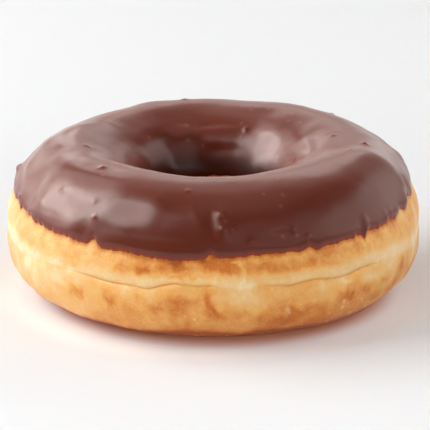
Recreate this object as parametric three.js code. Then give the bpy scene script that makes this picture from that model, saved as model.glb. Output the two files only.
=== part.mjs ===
// A chocolate ring doughnut: a ring of fried yeast dough, and the chocolate icing that its top was dipped in.
// Millimetres, +Z up. The origin is the middle of the ring on the surface that it rests on, and the front is -Y.
// A turn is the angle round the ring from the front, growing towards +X.
import * as THREE from "three";
import { LoftGeometry } from "three/addons/geometries/LoftGeometry.js";

// Driving dimensions of the whole ring, over the dough and the icing.
const OUTER_RADIUS = 45; // at the belly, the widest part
const HOLE_RADIUS = 15.5; // at the waist, the narrowest part of the hole
const RIDGE_RADIUS = 30.2; // where the ring is highest
const RIDGE_HEIGHT = 33.7;
const BELLY_HEIGHT = 14.5;
const WAIST_HEIGHT = 19;
const FOOT_OUTER = 25.4; // the flat foot that it stands on
const FOOT_INNER = 24.2;

// The crease that runs round the belly, between the lower and the upper roll of dough.
const CREASE_DEPTH = 0.5;
const CREASE_HALF_WIDTH = 1.3;

// The icing.
const ICING_THICKNESS = 1.2; // over the top of the ring
const RIM_THICKNESS = 0.8; // at its edges
const RIM_LENGTH = 8; // over which it thickens from an edge
const ICING_GAP = 0.3; // between the icing and the dough
const DRAW_IN = 4.5; // length over which the dough draws in below the icing's edge
const ICING_OUTER_EDGE = 22.5; // mean height of the edge outside the ring
const ICING_INNER_EDGE = 20.1; // and inside the hole

// How square each quarter of the section is: 2 is an ellipse, and more is squarer.
const OUTER_TOP_POWER = 2.13;
const OUTER_FOOT_POWER = 2.55;
const INNER_TOP_POWER = 1.95;
const INNER_FOOT_POWER = 2.1;

// Steps of the surfaces.
const STEPS_ROUND = 72;
const STEPS_UP_INSIDE = 6;
const STEPS_OVER_TOP = 8; // from the waist to the ridge, and again from the ridge to the belly
const STEPS_UNDER_BELLY = 7;
const STEPS_OVER_ICING = 16;
const STEPS_UNDER_ICING = 9;
const LINE_STEPS = 150; // of the fine line along each quarter, that the solids are measured along

// Unevenness round the ring: each wave is [crests round the ring, height, turn of a crest in degrees].
const OUTER_WAVES = [[2, 0.12, 80], [3, 0.14, 25], [5, 0.1, -30]];
const HOLE_WAVES = [[1, 1.4, -90], [2, 0.35, 20], [3, 0.3, 100]];
const RIDGE_WAVES = [[1, 0.5, -90], [2, 0.25, 15]];
const RIDGE_HEIGHT_WAVES = [[2, 0.16, 80], [3, 0.15, 172], [5, 0.08, 40]];
const BELLY_WAVES = [[2, 0.35, 10], [8, 0.2, 2], [11, 0.3, -11]];
const OUTER_EDGE_WAVES = [[1, 0.7, 165], [2, 0.8, 81], [3, 0.25, 42], [4, 0.35, -8], [5, 0.4, 22], [9, 0.2, 8]];
const INNER_EDGE_WAVES = [[1, 0.3, 172], [3, 0.3, 172], [7, 0.2, 172]];

const QUARTER_TURN = Math.PI / 2;

function wave(waves, turn) {
  return waves.reduce(
    (sum, [crests, height, at]) => sum + height * Math.cos(crests * (turn - THREE.MathUtils.degToRad(at))),
    0,
  );
}

// A quarter of a superellipse as a fine line, from the end of its level arm to just short of its upright arm.
function quarterLine(centreX, centreY, levelArm, uprightArm, power) {
  return Array.from({ length: LINE_STEPS }, (_, i) => {
    const angle = (QUARTER_TURN * i) / LINE_STEPS;
    const along = Math.cos(angle) ** (2 / power);
    const up = Math.sin(angle) ** (2 / power);
    return new THREE.Vector2(centreX + levelArm * along, centreY + uprightArm * up);
  });
}

// The whole ring's section at a turn, as a fine line from the foot, up inside the hole and down the outside.
// Lengths are measured along it, and its x is the distance from the axis.
class Outline {
  constructor(turn) {
    const outer = OUTER_RADIUS + wave(OUTER_WAVES, turn);
    const hole = HOLE_RADIUS + wave(HOLE_WAVES, turn);
    const ridge = RIDGE_RADIUS + wave(RIDGE_WAVES, turn);
    const top = RIDGE_HEIGHT + wave(RIDGE_HEIGHT_WAVES, turn);
    const belly = BELLY_HEIGHT + wave(BELLY_WAVES, turn);
    this.points = [
      new THREE.Vector2(FOOT_INNER, 0),
      ...quarterLine(FOOT_INNER, WAIST_HEIGHT, hole - FOOT_INNER, -WAIST_HEIGHT, INNER_FOOT_POWER).reverse(),
      ...quarterLine(ridge, WAIST_HEIGHT, hole - ridge, top - WAIST_HEIGHT, INNER_TOP_POWER).slice(1),
      new THREE.Vector2(ridge, top),
      ...quarterLine(ridge, belly, outer - ridge, top - belly, OUTER_TOP_POWER).reverse(),
      ...quarterLine(FOOT_OUTER, belly, outer - FOOT_OUTER, -belly, OUTER_FOOT_POWER).slice(1),
      new THREE.Vector2(FOOT_OUTER, 0),
    ];
    this.lengths = [0];
    this.points.slice(1).forEach((point, i) => {
      this.lengths.push(this.lengths[i] + point.distanceTo(this.points[i]));
    });
    this.waist = this.lengths[LINE_STEPS];
    this.ridge = this.lengths[2 * LINE_STEPS];
    this.belly = this.lengths[3 * LINE_STEPS];
    this.end = this.lengths[4 * LINE_STEPS];
  }

  // The length at which the line passes a height, between the waist and the ridge or the ridge and the belly.
  lengthAtHeight(height, outside) {
    const first = outside ? 2 * LINE_STEPS : LINE_STEPS;
    const passed = (point, i) => i > first && (outside ? point.y <= height : point.y >= height);
    const i = this.points.findIndex(passed);
    const share = (height - this.points[i - 1].y) / (this.points[i].y - this.points[i - 1].y);
    return THREE.MathUtils.lerp(this.lengths[i - 1], this.lengths[i], share);
  }

  // The point at a length, moved a depth into the ring.
  pointAt(length, depth) {
    const found = this.lengths.findIndex((passed) => passed >= length);
    const i = found < 1 ? 1 : found;
    const share = (length - this.lengths[i - 1]) / (this.lengths[i] - this.lengths[i - 1]);
    const before = this.points[Math.max(i - 2, 0)];
    const after = this.points[Math.min(i + 1, this.points.length - 1)];
    const inward = new THREE.Vector2(after.y - before.y, before.x - after.x).normalize();
    return this.points[i - 1].clone().lerp(this.points[i], share).addScaledVector(inward, depth);
  }
}

// Lengths from one end to the other, closer together near the first: a crowding of 1 is even.
function spread(from, to, steps, crowding) {
  return Array.from({ length: steps + 1 }, (_, i) => from + (to - from) * (i / steps) ** crowding);
}

// The ring at one turn, cut into its dough and its icing.
class Slice {
  constructor(turn) {
    this.outline = new Outline(turn);
    this.innerEdge = this.outline.lengthAtHeight(ICING_INNER_EDGE + wave(INNER_EDGE_WAVES, turn), false);
    this.outerEdge = this.outline.lengthAtHeight(ICING_OUTER_EDGE + wave(OUTER_EDGE_WAVES, turn), true);
  }

  // How far a length lies inside the iced stretch, from its nearer edge. It is negative on the bare dough.
  fromEdge(length) {
    return Math.min(length - this.innerEdge, this.outerEdge - length);
  }

  icingDepth(length) {
    const body = THREE.MathUtils.smoothstep(this.fromEdge(length), 0, RIM_LENGTH);
    return THREE.MathUtils.lerp(RIM_THICKNESS, ICING_THICKNESS, body);
  }

  // The icing's outer face rounds down to its underside at each edge, as a quarter circle.
  icingFaceDepth(length) {
    const fromRounding = Math.max(1 - this.fromEdge(length) / RIM_THICKNESS, 0);
    return this.icingDepth(length) * (1 - Math.sqrt(1 - Math.min(fromRounding, 1) ** 2));
  }

  doughDepth(length) {
    const fromCrease = (length - this.outline.belly) / CREASE_HALF_WIDTH;
    const crease = CREASE_DEPTH * Math.exp(-fromCrease * fromCrease);
    const cover = THREE.MathUtils.smoothstep(this.fromEdge(length), -DRAW_IN, 0);
    return crease + cover * (this.icingDepth(length) + ICING_GAP);
  }

  doughSection() {
    const { waist, ridge, belly, end } = this.outline;
    const lengths = [
      ...spread(0, waist, STEPS_UP_INSIDE, 1).slice(0, -1),
      ...spread(waist, ridge, STEPS_OVER_TOP, 1),
      ...spread(belly, ridge, STEPS_OVER_TOP, 1.4).reverse().slice(1),
      ...spread(belly, end, STEPS_UNDER_BELLY, 1.4).slice(1),
    ];
    return lengths.map((length) => this.outline.pointAt(length, this.doughDepth(length)));
  }

  icingSection() {
    const overTop = spread(0, 1, STEPS_OVER_ICING, 1).map((share) =>
      THREE.MathUtils.lerp(this.innerEdge, this.outerEdge, (1 - Math.cos(Math.PI * share)) / 2),
    );
    const beneath = spread(this.outerEdge, this.innerEdge, STEPS_UNDER_ICING, 1).slice(1, -1);
    return [
      ...overTop.map((length) => this.outline.pointAt(length, this.icingFaceDepth(length))),
      ...beneath.map((length) => this.outline.pointAt(length, this.icingDepth(length))),
    ];
  }
}

// A solid ring through the closed section of the slice at each turn.
function ringSolid(slices, sectionOf) {
  const sections = slices.map((slice, i) => {
    const turn = (2 * Math.PI * i) / slices.length;
    return sectionOf(slice).map(
      ({ x: radius, y: height }) =>
        new THREE.Vector3(radius * Math.sin(turn), -radius * Math.cos(turn), height),
    );
  });
  return new LoftGeometry([...sections, sections[0]]);
}

function namedMesh(name, geometry, material) {
  const mesh = new THREE.Mesh(geometry, material);
  mesh.name = name;
  return mesh;
}

const slices = Array.from({ length: STEPS_ROUND }, (_, i) => new Slice((2 * Math.PI * i) / STEPS_ROUND));

const doughRing = namedMesh(
  "dough_ring",
  ringSolid(slices, (slice) => slice.doughSection()),
  new THREE.MeshStandardMaterial({ color: 0xd49a55, roughness: 0.55, metalness: 0 }),
);

const chocolateIcing = namedMesh(
  "chocolate_icing",
  ringSolid(slices, (slice) => slice.icingSection()),
  new THREE.MeshStandardMaterial({ color: 0x4a2218, roughness: 0.25, metalness: 0 }),
);

const doughnut = new THREE.Group();
doughnut.add(doughRing, chocolateIcing);

// The middle of the uneven ring's footprint goes over the origin.
const middle = new THREE.Box3().setFromObject(doughnut).getCenter(new THREE.Vector3());
doughnut.children.forEach((mesh) => mesh.position.set(-middle.x, -middle.y, 0));

export default doughnut;
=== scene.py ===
"""A chocolate iced ring doughnut, standing alone on a pale studio floor.

The ring is worked out in millimetres, with +Z up. A turn is the angle round the ring from the front (-Y),
growing towards +X. A length is measured along the ring's section, from its foot up inside the hole and down
the outside. A lean says where a point lies over the section: 0 is the top, -90 faces into the hole and 90
faces outside.
"""

import logging
from dataclasses import dataclass
from enum import Enum

import bpy
import numpy as np
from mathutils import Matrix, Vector
from numpy.typing import NDArray


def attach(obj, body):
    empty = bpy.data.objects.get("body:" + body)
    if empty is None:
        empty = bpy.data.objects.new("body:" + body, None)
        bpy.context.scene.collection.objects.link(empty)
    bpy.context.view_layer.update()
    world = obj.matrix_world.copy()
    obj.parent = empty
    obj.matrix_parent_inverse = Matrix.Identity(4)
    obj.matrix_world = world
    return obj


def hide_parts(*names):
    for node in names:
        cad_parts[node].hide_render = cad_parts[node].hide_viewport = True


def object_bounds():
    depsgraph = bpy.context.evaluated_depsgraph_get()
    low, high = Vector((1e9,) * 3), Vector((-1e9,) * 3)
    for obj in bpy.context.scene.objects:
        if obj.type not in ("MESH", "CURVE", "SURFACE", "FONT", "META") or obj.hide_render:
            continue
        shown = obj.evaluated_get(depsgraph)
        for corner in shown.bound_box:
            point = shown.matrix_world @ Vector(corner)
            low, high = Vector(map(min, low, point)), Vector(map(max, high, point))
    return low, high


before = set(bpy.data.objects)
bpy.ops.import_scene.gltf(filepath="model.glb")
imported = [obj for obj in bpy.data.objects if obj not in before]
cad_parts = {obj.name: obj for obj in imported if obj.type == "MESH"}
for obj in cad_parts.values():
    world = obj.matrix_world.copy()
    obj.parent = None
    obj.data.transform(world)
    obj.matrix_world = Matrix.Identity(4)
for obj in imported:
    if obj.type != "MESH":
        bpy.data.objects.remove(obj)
CAD_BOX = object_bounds()

MILLIMETRE = 0.001
WATTS_PER_RADIANCE = np.pi  # that each square metre of a light gives off
Array = NDArray[np.float64]
Colour = tuple[float, float, float]
Piece = bpy.types.Object
Socket = bpy.types.NodeSocket
WHITE: Colour = (1.0, 1.0, 1.0)
WARM: Colour = (1.0, 0.985, 0.955)
ROSY: Colour = (1.0, 0.965, 0.95)
COOL: Colour = (0.84, 0.97, 1.16)

BELLY_RADIUS = 45.0  # the widest part of the ring
RIDGE_RADIUS = 30.2  # where the ring is highest
CORE_HEIGHT = 17.0  # of the line inside the ring, under the ridge, that leans are measured from
MOST_BROWNED = 1.4  # where the crust is darkest: it is 0 where it is cream and 1 where it is brown
log = logging.getLogger("doughnut")


class Side(Enum):
    """The two stretches of the section on which a height is met once."""

    HOLE = "from the waist of the hole up to the ridge"
    OUTSIDE = "from the ridge down to the belly"


@dataclass(frozen=True)
class Wave:
    """An even unevenness round the ring: so many crests, with one of them at a turn in degrees."""

    crests: int
    height: float
    at: float

    def over(self, turns: Array) -> Array:
        """Height times the cosine of crests times the angle from the crest.

        Args:
            turns: Turns in radians.

        Returns:
            The wave's height at each turn, in mm.
        """
        return self.height * np.cos(self.crests * (turns - np.radians(self.at)))


@dataclass(frozen=True)
class Swell:
    """A single rise, or dip, at one turn of the ring: turn and half-width in degrees, height in mm."""

    at: float
    width: float
    height: float

    def over(self, turns: Array) -> Array:
        """Height times a bell curve of the angle from the middle, measured the shorter way round.

        Args:
            turns: Turns in radians.

        Returns:
            The swell's height at each turn, in mm.
        """
        return self.height * np.exp(-((round_from(turns, self.at) / np.radians(self.width)) ** 2))


def even_shares(count: int) -> Array:
    """Even shares from 0 to just short of 1."""
    return np.arange(count) / count


def round_from(turns: Array, degrees: float) -> Array:
    """The angles in radians from a turn in degrees to other turns, measured the shorter way round."""
    return np.angle(np.exp(1j * (turns - np.radians(degrees))))


def summed(parts: tuple[Wave | Swell, ...], turns: Array) -> Array:
    """The sum of several waves or swells at each turn.

    Args:
        parts: The waves or swells.
        turns: Turns in radians.

    Returns:
        Their sum at each turn, in mm.
    """
    return sum((part.over(turns) for part in parts), np.zeros_like(turns))


@dataclass(frozen=True)
class Ripple:
    """Soft random unevenness in space, so that it has no seam on a ring."""

    spacing: float  # in mm
    height: float  # in the measure of what it is added to
    seed: int
    count: int = 40  # of the waves
    spread: tuple[float, float] = (0.7, 1.5)  # of their lengths, as shares of the spacing

    def over(self, points: Array) -> Array:
        """A sum of cosine waves that run through space in random directions.

        Their crests are about a spacing apart.

        Args:
            points: Points in mm, with x, y and z last.

        Returns:
            The unevenness at each point, with a root mean square of height.
        """
        random = np.random.default_rng(self.seed)
        heading = random.normal(size=(3, self.count))
        heading /= np.linalg.norm(heading, axis=0)
        heading *= 2 * np.pi / (self.spacing * random.uniform(*self.spread, self.count))
        start = random.uniform(0, 2 * np.pi, self.count)
        total = np.cos(points @ heading + start).sum(axis=-1)
        return self.height * np.sqrt(2 / self.count) * total


@dataclass(frozen=True)
class Fold:
    """A soft rise, or dip, somewhere on the ring, longer one way than the other."""

    turn: float
    wide: float  # its half-width round the ring, in degrees of turn
    lean: float
    tall: float  # its half-length over the section, in degrees of lean
    height: float  # in mm
    slant: float = 0.0  # degrees of turn that it moves on for each degree of lean

    def over(self, turns: Array, leans: Array) -> Array:
        """Height times a bell curve round the ring and a flatter one, exp(-(l/t)^4), over the section.

        Args:
            turns: Turns in radians, one row for each turn.
            leans: Leans in degrees.

        Returns:
            The height at each point, in mm.
        """
        along = leans - self.lean
        away = np.degrees(round_from(turns, self.turn)) - self.slant * along
        return self.height * np.exp(-((away / self.wide) ** 2) - (along / self.tall) ** 4)


def smooth_step(values: Array, low: float, high: float) -> Array:
    """Rises smoothly from 0 at low to 1 at high, as 3 s squared minus 2 s cubed of the share between them.

    Args:
        values: The values to turn into shares.
        low: Where the rise starts.
        high: Where it ends.

    Returns:
        A share from 0 to 1 for each value.
    """
    share = np.clip((values - low) / (high - low), 0, 1)
    return share * share * (3 - 2 * share)


@dataclass(frozen=True)
class TracedRing:
    """The ring's section at each of several turns, as points at even steps along it.

    The rows of radius and height hold one closed section for each turn, and total is its whole length. The
    waist, the ridge and the belly are the lengths at which it is narrowest, highest and widest.
    """

    turns: Array
    radius: Array
    height: Array
    total: Array
    waist: Array
    ridge: Array
    belly: Array
    middle: tuple[float, float]

    def _between(self, rows: Array, lengths: Array) -> Array:
        """The value of each row's samples at lengths, by straight lines between them.

        Args:
            rows: A value for each sample of each section.
            lengths: Lengths along each section, one row for each turn.

        Returns:
            The value at each length.
        """
        count = rows.shape[1]
        place = lengths / self.total[:, None] * count
        first = np.floor(place).astype(int)
        share = place - first
        here = np.take_along_axis(rows, first % count, axis=1)
        after = np.take_along_axis(rows, (first + 1) % count, axis=1)
        return here + (after - here) * share

    def point(self, lengths: Array, rise: Array | float = 0.0) -> Array:
        """Points at lengths along each section, raised off it along its normal.

        The section's tangent (dr, dz) gives the normal (-dz, dr). A distance r from the axis at a turn t
        becomes x = r sin t and y = -r cos t, less the middle of the uneven ring's footprint.

        Args:
            lengths: Lengths along each section, one row for each turn.
            rise: How far off the section, outwards.

        Returns:
            The points in mm, with x, y and z last.
        """
        along = np.roll(self.radius, -1, axis=1) - np.roll(self.radius, 1, axis=1)
        up = np.roll(self.height, -1, axis=1) - np.roll(self.height, 1, axis=1)
        out_radius = -self._between(up, lengths)
        out_height = self._between(along, lengths)
        size = np.hypot(out_radius, out_height)
        radius = self._between(self.radius, lengths) + out_radius / size * rise
        height = self._between(self.height, lengths) + out_height / size * rise
        turn = self.turns[:, None]
        across, back = radius * np.sin(turn) - self.middle[0], -radius * np.cos(turn) - self.middle[1]
        return np.stack((across, back, height), axis=-1)

    def lean(self, lengths: Array) -> Array:
        """The lean of the section at lengths.

        Args:
            lengths: Lengths along each section, one row for each turn.

        Returns:
            The lean at each length, in degrees.
        """
        radius, height = self._between(self.radius, lengths), self._between(self.height, lengths)
        return np.degrees(np.arctan2(radius - RIDGE_RADIUS, height - CORE_HEIGHT))

    def sample_lengths(self) -> Array:
        """The length at each sample of each row."""
        return even_shares(self.radius.shape[1]) * self.total[:, None]

    def _first(self, passed: Array, rows: Array, target: Array) -> Array:
        """The length at which each row first passes its target, by a straight line between two samples.

        Args:
            passed: Which samples lie past the target.
            rows: A value for each sample of each section.
            target: The value to be met in each row.

        Returns:
            The length at each turn.
        """
        count = rows.shape[1]
        after = passed.argmax(axis=1)
        turn = np.arange(len(after))
        before_value, after_value = rows[turn, after - 1], rows[turn, after]
        share = (target - before_value) / (after_value - before_value)
        return (after - 1 + share) / count * self.total

    def length_at_height(self, target: Array, side: Side) -> Array:
        """The length at which each section passes a height, on one side of the ridge.

        Args:
            target: The height at each turn.
            side: The side of the ridge.

        Returns:
            The length at each turn.
        """
        lengths = self.sample_lengths()
        if side is Side.OUTSIDE:
            passed = (lengths > self.ridge[:, None]) & (self.height <= target[:, None])
        else:
            passed = (lengths > self.waist[:, None]) & (self.height >= target[:, None])
        return self._first(passed, self.height, target)

    def length_at_radius(self, target: Array) -> Array:
        """The length at which each section passes a distance from the axis, over the top of the ring.

        Args:
            target: The distance from the axis at each turn.

        Returns:
            The length at each turn.
        """
        lengths = self.sample_lengths()
        passed = (lengths > self.waist[:, None]) & (self.radius >= target[:, None])
        return self._first(passed, self.radius, target)


@dataclass(frozen=True)
class RingOutline:
    """The whole ring's outline, over the dough and the icing. The sizes are the CAD model's."""

    outer_radius: float = BELLY_RADIUS
    hole_radius: float = 15.5
    ridge_radius: float = RIDGE_RADIUS
    ridge_height: float = 33.7
    belly_height: float = 14.5
    waist_height: float = 19.0
    foot_outer: float = 25.4
    foot_inner: float = 24.2
    outer_top_power: float = 2.13
    outer_foot_power: float = 2.55
    inner_top_power: float = 1.95
    inner_foot_power: float = 2.1
    outer_waves: tuple[Wave, ...] = (Wave(2, 0.12, 80), Wave(3, 0.14, 25), Wave(5, 0.1, -30))
    hole_waves: tuple[Wave, ...] = (Wave(1, 1.4, -90), Wave(2, 0.35, 20), Wave(3, 0.3, 100))
    ridge_waves: tuple[Wave, ...] = (Wave(1, 0.5, -90), Wave(2, 0.25, 15))
    ridge_height_waves: tuple[Wave, ...] = (Wave(2, 0.16, 80), Wave(3, 0.15, 172), Wave(5, 0.08, 40))
    belly_waves: tuple[Wave, ...] = (Wave(2, 0.35, 10), Wave(8, 0.2, 2), Wave(11, 0.3, -11))
    quarter_steps: int = 150
    even_steps: int = 640
    footprint_steps: int = 72
    softening: float = 0.7  # spread of the blur that joins the quarters without a kink

    def middle(self) -> tuple[float, float]:
        """The middle of the box round the belly, which goes over the origin.

        The belly's points are x = r sin t and y = -r cos t.

        Returns:
            The middle's x and y in mm.
        """
        turns = 2 * np.pi * even_shares(self.footprint_steps)
        outer = self.outer_radius + summed(self.outer_waves, turns)
        across, back = outer * np.sin(turns), -outer * np.cos(turns)
        return (across.max() + across.min()) / 2, (back.max() + back.min()) / 2

    def _quarter(self, centre: Array, arms: Array, power: float) -> Array:
        """A quarter of a superellipse at each turn, from its level arm to just short of its upright arm.

        Its points are centre + level arm * cos(a)^(2/power) and centre + upright arm * sin(a)^(2/power).

        Args:
            centre: Its centre's distance from the axis and height, for each turn.
            arms: The level and the upright arm, for each turn.
            power: How square it is.

        Returns:
            The points, as an array of turns by steps by two.
        """
        angle = np.pi / 2 * even_shares(self.quarter_steps)
        bend = np.stack((np.cos(angle), np.sin(angle)), axis=-1) ** (2 / power)
        return centre[:, None, :] + arms[:, None, :] * bend[None]

    def trace(self, turns: Array) -> TracedRing:
        """Traces the section at each turn, evens its steps and blurs it a little along its length.

        Args:
            turns: Turns in radians.

        Returns:
            The traced ring.
        """
        outer = self.outer_radius + summed(self.outer_waves, turns)
        hole = self.hole_radius + summed(self.hole_waves, turns)
        ridge = self.ridge_radius + summed(self.ridge_waves, turns)
        top = self.ridge_height + summed(self.ridge_height_waves, turns)
        belly = self.belly_height + summed(self.belly_waves, turns)
        waist = np.full_like(turns, self.waist_height)
        foot_inner = np.full_like(turns, self.foot_inner)
        foot_outer = np.full_like(turns, self.foot_outer)

        def pair(first: Array, second: Array) -> Array:
            """Two rows of values side by side."""
            return np.stack((first, second), axis=-1)

        low_centre, low_arms = pair(foot_inner, waist), pair(hole - foot_inner, -waist)
        in_foot = self._quarter(low_centre, low_arms, self.inner_foot_power)
        in_top = self._quarter(pair(ridge, waist), pair(hole - ridge, top - waist), self.inner_top_power)
        out_top = self._quarter(pair(ridge, belly), pair(outer - ridge, top - belly), self.outer_top_power)
        low_centre, low_arms = pair(foot_outer, belly), pair(outer - foot_outer, -belly)
        out_foot = self._quarter(low_centre, low_arms, self.outer_foot_power)
        start = pair(foot_inner, 0 * waist)[:, None]
        crown = pair(ridge, top)[:, None]
        end = pair(foot_outer, 0 * waist)[:, None]
        up_the_hole = [start, in_foot[:, ::-1], in_top[:, 1:], crown]
        down_outside = [out_top[:, ::-1], out_foot[:, 1:], end, start]
        line = np.concatenate(up_the_hole + down_outside, axis=1)
        steps = np.linalg.norm(np.diff(line, axis=1), axis=2)
        passed = np.concatenate((np.zeros((len(turns), 1)), steps.cumsum(axis=1)), axis=1)
        total = passed[:, -1]
        even = self._even(line, passed, total)
        wave_number = 2 * np.pi * np.fft.rfftfreq(self.even_steps, 1 / self.even_steps) / total.mean()
        blur = np.exp(-((wave_number * self.softening) ** 2) / 2)
        even = np.fft.irfft(np.fft.rfft(even, axis=1) * blur[None, :, None], self.even_steps, axis=1)
        marks = [passed[:, self.quarter_steps * quarter] for quarter in (1, 2, 3)]
        rest = even[..., 1].min(axis=1, keepdims=True)
        return TracedRing(turns, even[..., 0], even[..., 1] - rest, total, *marks, self.middle())

    def _even(self, line: Array, passed: Array, total: Array) -> Array:
        """Points at even steps along each line.

        Each row's lengths are shifted past the last row's, so that one interpolation does them all.

        Args:
            line: The points of each section.
            passed: The length at each of them.
            total: The whole length of each section.

        Returns:
            The even points, as an array of turns by steps by two.
        """
        shift = np.arange(len(total))[:, None] * 2 * total.max()
        wanted = (even_shares(self.even_steps) * total[:, None] + shift).ravel()
        known = (passed + shift).ravel()
        columns = [np.interp(wanted, known, line[..., axis].ravel()) for axis in (0, 1)]
        return np.stack(columns, axis=-1).reshape(len(total), self.even_steps, 2)


def ring_mesh(name: str, points: Array, values: dict[str, Array]) -> Piece:
    """Makes a closed ring from a grid of points that joins up both ways.

    Each face takes the points (i, j), (i, j+1), (i+1, j+1) and (i+1, j), where i goes round the ring and j
    along the section, so that it faces outwards.

    Args:
        name: The piece's name.
        points: The grid of points in mm, turns by steps by three.
        values: A value for each point, for each attribute that the finish reads.

    Returns:
        The new piece, at the origin.
    """
    around, along = points.shape[:2]
    place = np.arange(around * along).reshape(around, along)
    beside = np.roll(place, -1, axis=0)
    corners = (place, np.roll(place, -1, axis=1), np.roll(beside, -1, axis=1), beside)
    faces = np.stack(corners, axis=-1).reshape(-1, 4)
    mesh = bpy.data.meshes.new(name)
    mesh.from_pydata((points.reshape(-1, 3) * MILLIMETRE).tolist(), [], faces.tolist())
    mesh.polygons.foreach_set("use_smooth", np.ones(len(faces), dtype=bool))
    for attribute_name, value in values.items():
        attribute = mesh.attributes.new(attribute_name, "FLOAT", "POINT")
        attribute.data.foreach_set("value", value.astype(np.float32).ravel())
    mesh.validate()
    piece = bpy.data.objects.new(name, mesh)
    bpy.context.scene.collection.objects.link(piece)
    return piece


@dataclass(frozen=True)
class Grain:
    """Soft noise through a material."""

    spacing: float  # about how far from one lump to the next, in mm
    strength: float  # in the measure of what it is added to, or its height in mm where it is a bump
    layers: float  # how many finer layers it has
    fineness: float = 0.5  # how strong they are


@dataclass(frozen=True)
class Skin:
    """How a surface shines, and how far light spreads under it."""

    roughness: float
    subsurface: float
    scatter: Colour  # how far each colour spreads, as a share of the reach
    scatter_reach: float  # in mm
    index: float = 1.5  # of refraction
    specular: float = 0.5


class Recipe:
    """A material's node tree while it is being put together."""

    def __init__(self, name: str) -> None:
        """Starts a material with a Principled BSDF.

        Args:
            name: The material's name.
        """
        self.material = bpy.data.materials.new(name)
        self.material.use_nodes = True
        self.nodes = self.material.node_tree.nodes
        self.links = self.material.node_tree.links
        self.shader = self.nodes["Principled BSDF"]

    def add(self, kind: str, settings: dict | None = None, **inputs: object) -> bpy.types.Node:
        """Adds a node. An input is a value, or another node's output socket that is linked to it.

        Args:
            kind: The node's type.
            settings: Properties of the node.
            inputs: Its sockets, by name.

        Returns:
            The new node.
        """
        node = self.nodes.new(kind)
        for key, value in (settings or {}).items():
            setattr(node, key, value)
        for key, value in inputs.items():
            self.put(node.inputs[key], value)
        return node

    def put(self, socket: Socket, value: object) -> None:
        """Links an output socket to a socket, or sets the socket's own value.

        Args:
            socket: The input socket.
            value: The output socket, or the value.
        """
        if isinstance(value, Socket):
            self.links.new(value, socket)
        else:
            socket.default_value = value

    def blend(self, share: Socket, low: object, high: Colour) -> Socket:
        """Blends a colour over another.

        Args:
            share: How much of high, from 0 to 1.
            low: The colour at 0, or the socket of one.
            high: The colour at 1.

        Returns:
            The blended colour's socket.
        """
        node = self.add("ShaderNodeMix", {"data_type": "RGBA"})
        # A Mix node has sockets of the same names for each kind of value, so the colour's go by number.
        for index, value in ((0, share), (6, low), (7, (*high, 1))):
            self.put(node.inputs[index], value)
        return node.outputs[2]

    def maths(self, first: object, kind: str, second: object) -> Socket:
        """Two numbers put through a Math node.

        Args:
            first: The first number or socket.
            kind: The operation.
            second: The second number or socket.

        Returns:
            The result's socket.
        """
        node = self.add("ShaderNodeMath", {"operation": kind})
        self.put(node.inputs[0], first)
        self.put(node.inputs[1], second)
        return node.outputs[0]

    def attribute(self, name: str) -> Socket:
        """The value of a piece's own attribute."""
        return self.add("ShaderNodeAttribute", {"attribute_name": name}).outputs["Fac"]

    def noise(self, grain: Grain) -> Socket:
        """Soft noise on Object coordinates.

        Args:
            grain: The grain that it makes.

        Returns:
            The noise's value, about 0.5 in the middle.
        """
        node = self.add("ShaderNodeTexNoise", Detail=grain.layers, Roughness=grain.fineness)
        node.inputs["Scale"].default_value = 1 / (grain.spacing * MILLIMETRE)
        self.put(node.inputs["Vector"], self.add("ShaderNodeTexCoord").outputs["Object"])
        return node.outputs["Fac"]

    def unevenness(self, grain: Grain) -> Socket:
        """A grain's noise less its middle of 0.5, times its strength."""
        return self.maths(self.maths(self.noise(grain), "SUBTRACT", 0.5), "MULTIPLY", grain.strength)

    def ramp(self, share: Socket, stops: tuple[tuple[float, Colour], ...]) -> Socket:
        """A colour from a row of colours.

        Args:
            share: The place along the row, from 0 to 1.
            stops: The place of each colour, and the colour.

        Returns:
            The colour's socket.
        """
        node = self.add("ShaderNodeValToRGB", Fac=share)
        elements = node.color_ramp.elements
        while len(elements) < len(stops):
            elements.new(0.5)
        for element, (position, colour) in zip(elements, stops):
            element.position = position
            element.color = (*colour, 1)
        return node.outputs["Color"]

    def set_skin(self, skin: Skin) -> None:
        """Sets how the surface shines, and how far light spreads under it.

        Args:
            skin: The values to set.
        """
        sockets = self.shader.inputs
        sockets["Roughness"].default_value = skin.roughness
        sockets["IOR"].default_value = skin.index
        sockets["Specular IOR Level"].default_value = skin.specular
        sockets["Subsurface Weight"].default_value = skin.subsurface
        sockets["Subsurface Radius"].default_value = skin.scatter
        sockets["Subsurface Scale"].default_value = skin.scatter_reach * MILLIMETRE

    def bump(self, *grains: Grain) -> None:
        """Bumps the surface with grains, one over the other.

        Args:
            grains: The grains, at least one.
        """
        normal = None
        for grain in grains:
            height = self.noise(grain)
            node = self.add("ShaderNodeBump", Height=height, Distance=grain.strength * MILLIMETRE)
            if normal is not None:
                self.put(node.inputs["Normal"], normal)
            normal = node.outputs["Normal"]
        self.put(self.shader.inputs["Normal"], normal)


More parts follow.
